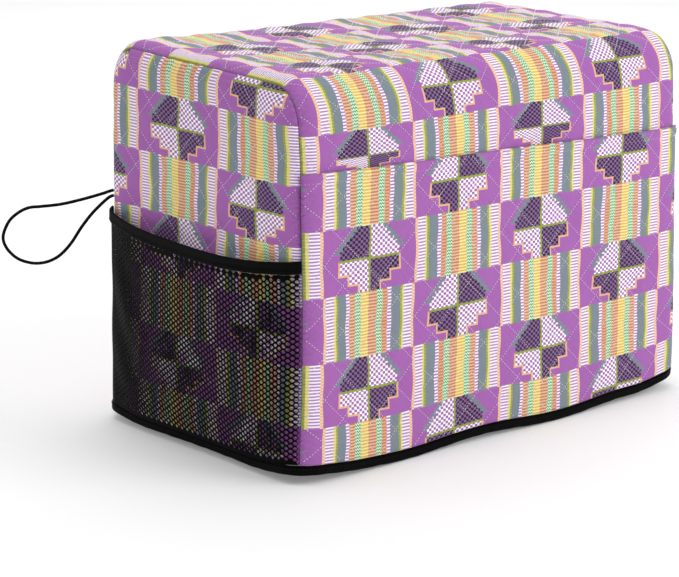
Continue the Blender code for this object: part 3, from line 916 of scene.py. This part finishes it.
def net_lift(share, up):
    """How far the net stands off the end, up from 0 at the hem to 1 at the mouth."""
    rising = np.sin(math.pi / 2 * np.minimum(1.0, up / NET_BULGE_FULL_AT))
    bulge = NET_BULGE_AT_HEM + (1 - NET_BULGE_AT_HEM) * rising
    return NET_BULGE * (1 - np.abs(2 * share - 1) ** 3) * bulge


def net_share(along):
    """Share of the way from the front seam to the back seam, along metres of net from the middle."""
    flat = DEPTH / 2 - EDGE_AT_HEM
    turned = EDGE_AT_HEM * SEAM_ANGLE
    beyond = np.clip((np.abs(along) - flat) / turned, 0, 1) / NET_COLUMNS
    return 0.5 + np.sign(along) * (np.minimum(np.abs(along) / flat, 1) * (0.5 - 1 / NET_COLUMNS) + beyond)


def on_net(along, height, lift):
    """Point off the left end: along metres from its middle to the back, height over the hem."""
    edge = edge_radius(HEM_Z + height)
    flat = DEPTH / 2 - EDGE_AT_HEM
    turned = np.clip((np.abs(along) - flat) / EDGE_AT_HEM, 0, SEAM_ANGLE - SEAM_GAP / 2 / edge)
    radius = edge + lift
    half = np.where(np.abs(along) > flat, DEPTH / 2 - edge, np.abs(along) / flat * (DEPTH / 2 - edge))
    y = np.sign(along) * (half + radius * np.sin(turned))
    x = -(WIDTH / 2 - edge + radius * np.cos(turned))
    return hang(np.stack((x, y, HEM_Z + height), axis=-1))


net_reach = DEPTH / 2 - EDGE_AT_HEM + EDGE_AT_HEM * SEAM_ANGLE - SEAM_GAP / 2
net_low = HEM_TAPE + HEM_GAP
columns = np.arange(-int(net_reach / CELL_WIDE) - 2, int(net_reach / CELL_WIDE) + 3)
levels = np.arange(0, int(NET_HEIGHT_BACK / CELL_STEP) + 2)
level, column = (part.ravel() for part in np.meshgrid(levels, columns, indexing="ij"))
centre = np.stack(((column + level % 2 / 2) * CELL_WIDE, net_low + level * CELL_STEP), axis=-1)
net_high = net_mouth(net_share(centre[:, 0])) - NET_TAPE - SEAM_GAP
kept = (np.abs(centre[:, 0]) < net_reach - NET_MARGIN / 2) & (centre[:, 1] < net_high)
centre = centre[kept]
cell = np.array(CELL_POINTS) / 1000
outline = centre[:, None] + cell[None]
opened = np.interp(net_share(centre[:, 0]), HOLE_SHARES, HOLE_OPENED)
hole = centre[:, None] + (cell * (HOLE_WIDE, HOLE_HIGH))[None] * opened[:, None, None]
pierced = np.abs(outline[..., 0]).max(axis=1) < net_reach - NET_MARGIN
pierced &= outline[..., 1].min(axis=1) > net_low
pierced &= outline[..., 1].max(axis=1) < net_high[kept] - NET_MARGIN
corner = np.arange(6)
after = (corner + 1) % 6
first = np.arange(len(centre))[:, None] * 13
rings = np.concatenate((outline, hole, centre[:, None]), axis=1)
ring_faces = np.concatenate((
    np.stack((first + corner, first + after, first + 6 + after), axis=-1)[pierced],
    np.stack((first + corner, first + 6 + after, first + 6 + corner), axis=-1)[pierced],
))
hub = np.broadcast_to(first + 12, (len(centre), 6))
fan_faces = np.stack((first + corner, first + after, hub), axis=-1)[~pierced]
net_faces = np.vstack((ring_faces.reshape(-1, 3), fan_faces.reshape(-1, 3)))
spots = rings.reshape(-1, 2)
spots[:, 0] = np.clip(spots[:, 0], -net_reach, net_reach)
spots[:, 1] = np.clip(spots[:, 1], net_low, net_mouth(net_share(spots[:, 0])) - NET_TAPE - SEAM_GAP)
_, whole, joined = np.unique(np.round(spots, 6), axis=0, return_index=True, return_inverse=True)
net_faces = joined.ravel()[net_faces]
used, net_faces = np.unique(net_faces, return_inverse=True)
net_faces = net_faces.reshape(-1, 3)
net_faces = net_faces[[len(set(face)) == 3 for face in net_faces.tolist()]]
along, height = spots[whole][used].T

share = net_share(along)
up = (height - net_low) / (net_mouth(share) - NET_TAPE - SEAM_GAP - net_low)
slack = smooth_step(share, *FOLD_FROM) * np.sin(math.pi * np.clip(up, 0, 1))
slack = slack * (1 - np.abs(2 * share - 1) ** 6)
bend = FOLD_BEND * np.sin(FOLD_BENDS * along)
folds = NET_FOLD * slack * np.sin(FOLD_UP * height - FOLD_ALONG * along + bend)
off = LAYER_GAP + net_lift(share, up) + folds
front = on_net(along, height, off + NET_THICK)
behind = on_net(along, height, off)
edges = np.vstack((net_faces[:, (0, 1)], net_faces[:, (1, 2)], net_faces[:, (2, 0)]))
_, first, times = np.unique(np.sort(edges, axis=1), axis=0, return_index=True, return_counts=True)
rim = edges[first[times == 1]]
count = len(front)
# So dark and dull that the cloth behind shows only through the holes.
net_material, _, _ = new_material("black polyester net", 0.55, "#040404", 0.04)
net = add_mesh(
    "net",
    np.vstack((front, behind)),
    np.vstack((
        net_faces[:, ::-1],
        net_faces + count,
        np.stack((rim[:, 0], rim[:, 1], rim[:, 1] + count), axis=-1),
        np.stack((rim[:, 0], rim[:, 1] + count, rim[:, 0] + count), axis=-1),
    )),
    net_material,
    smooth=False,
)
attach(net, "root")
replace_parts(net, "mesh_pocket")

# Tape on the net pocket's mouth
# Black woven elastic tape, folded over the net's upper edge and sewn down. It draws the mouth in,
# and its ribs run along it.

NET_TAPE_THICK = 0.0022
NET_TOPSTITCH = 0.002
TAPE_CORNERS = 0.45

# Ribs and weft of the tape, drawn about twice as coarse as the real half millimetre.
TAPE_RIB_MM = 1.0
TAPE_WEFT_MM = 0.9
WEAVE_BUMP = 0.00012


def sweep(name, rings, closed, material, uvs):
    """A solid swept through rings of points (stations, points, 3). closed joins its ends."""
    stations, count = rings.shape[:2]
    if not closed:
        middles = rings[[0, -1]].mean(axis=1, keepdims=True)
        caps = middles * 0.99 + rings[[0, -1]] * 0.01
        rings = np.concatenate((caps[:1], rings, caps[1:]))
        uvs = np.concatenate((uvs[:1], uvs, uvs[-1:]))
        stations += 1
    faces = grid_faces(stations + 1, count, closed=True) % (rings.shape[0] * count)
    points = rings.reshape(-1, 3)
    a, b, c, d = (points[faces[:, n]] for n in range(4))
    volume = (a * np.cross(b, c)).sum() + (a * np.cross(c, d)).sum()
    if volume < 0:
        faces = faces[:, ::-1]
    return add_mesh(name, points, faces, material, {"cloth": uvs.reshape(-1, 2)})


def tape_section(high, thick, count=20):
    """Points round a flat tape's rounded section: (height, depth), from -0.5 to 0.5 of each."""
    turn = np.linspace(0, 2 * math.pi, count, endpoint=False)
    rise = np.sign(np.sin(turn)) * np.abs(np.sin(turn)) ** TAPE_CORNERS * high / 2
    deep = np.sign(np.cos(turn)) * np.abs(np.cos(turn)) ** TAPE_CORNERS * thick / 2
    return rise, deep


# A dull black, with fine ribs that break up its highlights.
tape_material, tree, shader = new_material("black woven tape", 0.6, "#050505", 0.06)
tape_uv = add_node(tree, "UVMap", uv_map="cloth")
lengthwise = add_node(tree, "SeparateXYZ", tape_uv)
around = add_node(tree, "SeparateXYZ", tape_uv, out=1)
rib_turn = add_node(tree, "Math", around, 2 * math.pi / TAPE_RIB_MM, operation="MULTIPLY")
weft_turn = add_node(tree, "Math", lengthwise, 2 * math.pi / TAPE_WEFT_MM, operation="MULTIPLY")
rib = add_node(tree, "Math", rib_turn, operation="SINE")
weft = add_node(tree, "Math", weft_turn, operation="SINE")
woven = add_node(tree, "Math", rib, weft, operation="MULTIPLY")
bump = add_node(tree, "Bump", named={"Height": woven, "Distance": WEAVE_BUMP})
tree.links.new(bump, shader.inputs["Normal"])
# A little lighter and glossier than the tape, so its stitches just show.
black_thread, _, _ = new_material("black polyester thread", 0.45, "#101011", 0.1)

rise, deep = tape_section(NET_TAPE, NET_TAPE_THICK)
along = np.linspace(-net_reach, net_reach, 120)[:, None]
share = net_share(along)
height = net_mouth(share) - NET_TAPE / 2 + rise[None]
off = LAYER_GAP + NET_TAPE_THICK / 2 + net_lift(share, 1.0) + deep[None]
around_mm = np.linspace(0, 2 * (NET_TAPE + NET_TAPE_THICK) * 1000, len(rise))
around_mm = np.broadcast_to(around_mm, height.shape)
along = np.broadcast_to(along, height.shape)
net_tape = sweep(
    "net_mouth_tape",
    on_net(along, height, off),
    False,
    tape_material,
    np.stack((along * 1000, around_mm), axis=-1),
)
wide = stitch_row(-net_reach + STITCH_OFF_HEM, net_reach - 2 * STITCH_OFF_HEM)
net_tape_stitches = stitches(
    "net_mouth_topstitch",
    lambda wide, high, lift: on_net(
        wide, high, LAYER_GAP + NET_TAPE_THICK + net_lift(net_share(wide), 1.0) + lift
    ),
    wide,
    [net_mouth(net_share(part)) - NET_TAPE + NET_TOPSTITCH for part in wide],
    black_thread,
)
for piece in (net_tape, net_tape_stitches):
    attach(piece, "root")
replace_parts(net_tape, "mesh_pocket_binding")

# Hem tape
# The same tape, 20 mm wide, folded over the raw lower edge of strip, ends and pockets and sewn
# through. It follows the hem's waves and lifts at the corners.

HEM_OUT = 0.0024
HEM_THICK = 0.0056
HEM_STATIONS = 420
HEM_TOPSTITCH = 0.0022
HEM_PINCH = 0.05
HEM_PINCHES = (61, 17)


def on_hem(along, height, out):
    """Point round the hem: along metres of its outline, height over the hem, out of the cloth."""
    straight_x, straight_y = WIDTH - 2 * EDGE_AT_HEM, DEPTH - 2 * EDGE_AT_HEM
    arc = EDGE_AT_HEM * math.pi / 2
    starts = np.cumsum((0, straight_x, arc, straight_y, arc, straight_x, arc, straight_y))
    s = np.mod(along, starts[-1] + arc)
    x1 = np.clip(s - starts[0], 0, straight_x) - np.clip(s - starts[4], 0, straight_x)
    y1 = np.clip(s - starts[2], 0, straight_y) - np.clip(s - starts[6], 0, straight_y)
    turn = sum(np.clip((s - starts[n]) / EDGE_AT_HEM, 0, math.pi / 2) for n in (1, 3, 5, 7))
    radius = EDGE_AT_HEM + out
    x = x1 - straight_x / 2 + radius * np.sin(turn)
    y = y1 - straight_y / 2 - radius * np.cos(turn)
    return hang(np.stack(np.broadcast_arrays(x, y, HEM_Z + height), axis=-1))


hem_length = 2 * (WIDTH + DEPTH - 4 * EDGE_AT_HEM) + 2 * math.pi * EDGE_AT_HEM
rise, deep = tape_section(HEM_TAPE, HEM_THICK)
along = np.linspace(0, hem_length, HEM_STATIONS, endpoint=False)[:, None]
turn = 2 * math.pi * along / hem_length
pinch = 1 - HEM_PINCH * (1 + np.sin(turn * HEM_PINCHES[0]) * np.sin(turn * HEM_PINCHES[1]))
height = HEM_TAPE / 2 + rise[None] * pinch
around_mm = np.linspace(0, 2 * (HEM_TAPE + HEM_THICK) * 1000, len(rise))
around_mm = np.broadcast_to(around_mm, height.shape)
hem_tape = sweep(
    "hem_tape",
    on_hem(along, height, HEM_OUT - HEM_THICK / 2 + deep[None]),
    True,
    tape_material,
    np.stack((np.broadcast_to(along * 1000, height.shape), around_mm), axis=-1),
)
wide = stitch_row(0, hem_length - STITCH_PITCH)
hem_stitches = stitches(
    "hem_topstitch",
    lambda wide, high, lift: on_hem(wide, high, HEM_OUT + lift),
    wide,
    [np.full(len(wide[0]), HEM_TAPE - HEM_TOPSTITCH)] * 3,
    black_thread,
)
for piece in (hem_tape, hem_stitches):
    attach(piece, "root")
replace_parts(hem_tape, "hem_binding")

# Elastic loop
# A round elastic cord with a braided polyester sleeve. Both ends are caught in the back left seam.
# It springs out sideways and droops under its own weight.

ELASTIC_DIAMETER = 0.0027
ELASTIC_SIDES = 12
ELASTIC_HEIGHT = 0.1915
ELASTIC_TURN = math.radians(41)
BRAID_MM = 1.1
BRAID_BUMP = 0.00012

# The loop's route from its foot: out to the side, and up.
ELASTIC_ROUTE = (
    (0.000, 0.0000),
    (0.004, -0.0012),
    (0.011, -0.0036),
    (0.027, -0.0082),
    (0.044, -0.0122),
    (0.061, -0.0142),
    (0.070, -0.0151),
    (0.078, -0.0186),
    (0.086, -0.0252),
    (0.0905, -0.0330),
    (0.0925, -0.0400),
    (0.0915, -0.0462),
    (0.0873, -0.0530),
    (0.0800, -0.0590),
    (0.0700, -0.0622),
    (0.0610, -0.0622),
    (0.0525, -0.0597),
    (0.0445, -0.0545),
    (0.0360, -0.0450),
    (0.0277, -0.0322),
    (0.0192, -0.0210),
    (0.0108, -0.0122),
    (0.004, -0.0062),
    (0.000, -0.0045),
)


def smooth_curve(knots, count):
    """count points evenly spaced along a smooth curve through the knots."""
    knots = np.asarray(knots, float)
    ends = np.vstack((knots[:1], knots, knots[-1:]))
    share = np.linspace(0, 1, 16, endpoint=False)[:, None]
    parts = []
    for n in range(len(knots) - 1):
        before, start, end, after = ends[n:n + 4]
        parts.append(
            start
            + (end - before) * share / 2
            + (before * 2 - start * 5 + end * 4 - after) * share**2 / 2
            + (start * 3 - before - end * 3 + after) * share**3 / 2
        )
    fine = np.vstack((*parts, knots[-1:]))
    run = np.concatenate(([0], np.cumsum(np.linalg.norm(np.diff(fine, axis=0), axis=1))))
    even = np.linspace(0, run[-1], count)
    return np.stack([np.interp(even, run, fine[:, n]) for n in range(3)], axis=1)


def cord_rings(line, radius, sides):
    """Rings of points round a line that never runs level towards the front left."""
    ahead = np.gradient(line, axis=0)
    ahead /= np.linalg.norm(ahead, axis=1)[:, None]
    across = np.cross(ahead, (0.66, 0.75, 0.0))
    across /= np.linalg.norm(across, axis=1)[:, None]
    up = np.cross(across, ahead)
    turn = np.linspace(0, 2 * math.pi, sides, endpoint=False)[None, :, None]
    return line[:, None] + radius * (np.cos(turn) * across[:, None] + np.sin(turn) * up[:, None])


# Black, with a soft highlight that the strands of the braid break up.
elastic_material, tree, shader = new_material("black braided elastic", 0.55, "#060606", 0.1)
cord_uv = add_node(tree, "UVMap", uv_map="cloth")
lengthwise = add_node(tree, "SeparateXYZ", cord_uv)
around = add_node(tree, "SeparateXYZ", cord_uv, out=1)
strands = []
for operation in ("ADD", "SUBTRACT"):
    slanting = add_node(tree, "Math", lengthwise, around, operation=operation)
    turn = add_node(tree, "Math", slanting, 2 * math.pi / BRAID_MM, operation="MULTIPLY")
    strands.append(add_node(tree, "Math", turn, operation="SINE"))
braid = add_node(tree, "Math", *strands, operation="MAXIMUM")
bump = add_node(tree, "Bump", named={"Height": braid, "Distance": BRAID_BUMP})
tree.links.new(bump, shader.inputs["Normal"])

corner_z = HEM_Z + ELASTIC_HEIGHT
corner_edge = float(edge_radius(corner_z))
heading = np.array((-math.cos(ELASTIC_TURN), math.sin(ELASTIC_TURN), 0.0))
corner = np.array((-(WIDTH / 2 - corner_edge), DEPTH / 2 - corner_edge, corner_z))
elastic_foot = hang(corner + heading * (corner_edge + LAYER_GAP))
knots = [elastic_foot + heading * out + (0, 0, drop) for out, drop in ELASTIC_ROUTE]
elastic_line = smooth_curve(knots, 300)
steps = np.linalg.norm(np.diff(elastic_line, axis=0), axis=1)
run_mm = np.concatenate(([0], np.cumsum(steps))) * 1000
round_mm = np.arange(ELASTIC_SIDES) / ELASTIC_SIDES * math.pi * ELASTIC_DIAMETER * 1000
elastic = sweep(
    "elastic_cord",
    cord_rings(elastic_line, ELASTIC_DIAMETER / 2, ELASTIC_SIDES),
    False,
    elastic_material,
    np.stack(np.broadcast_arrays(run_mm[:, None], round_mm[None]), axis=-1),
)
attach(elastic, "root")
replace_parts(elastic, "elastic_loop")
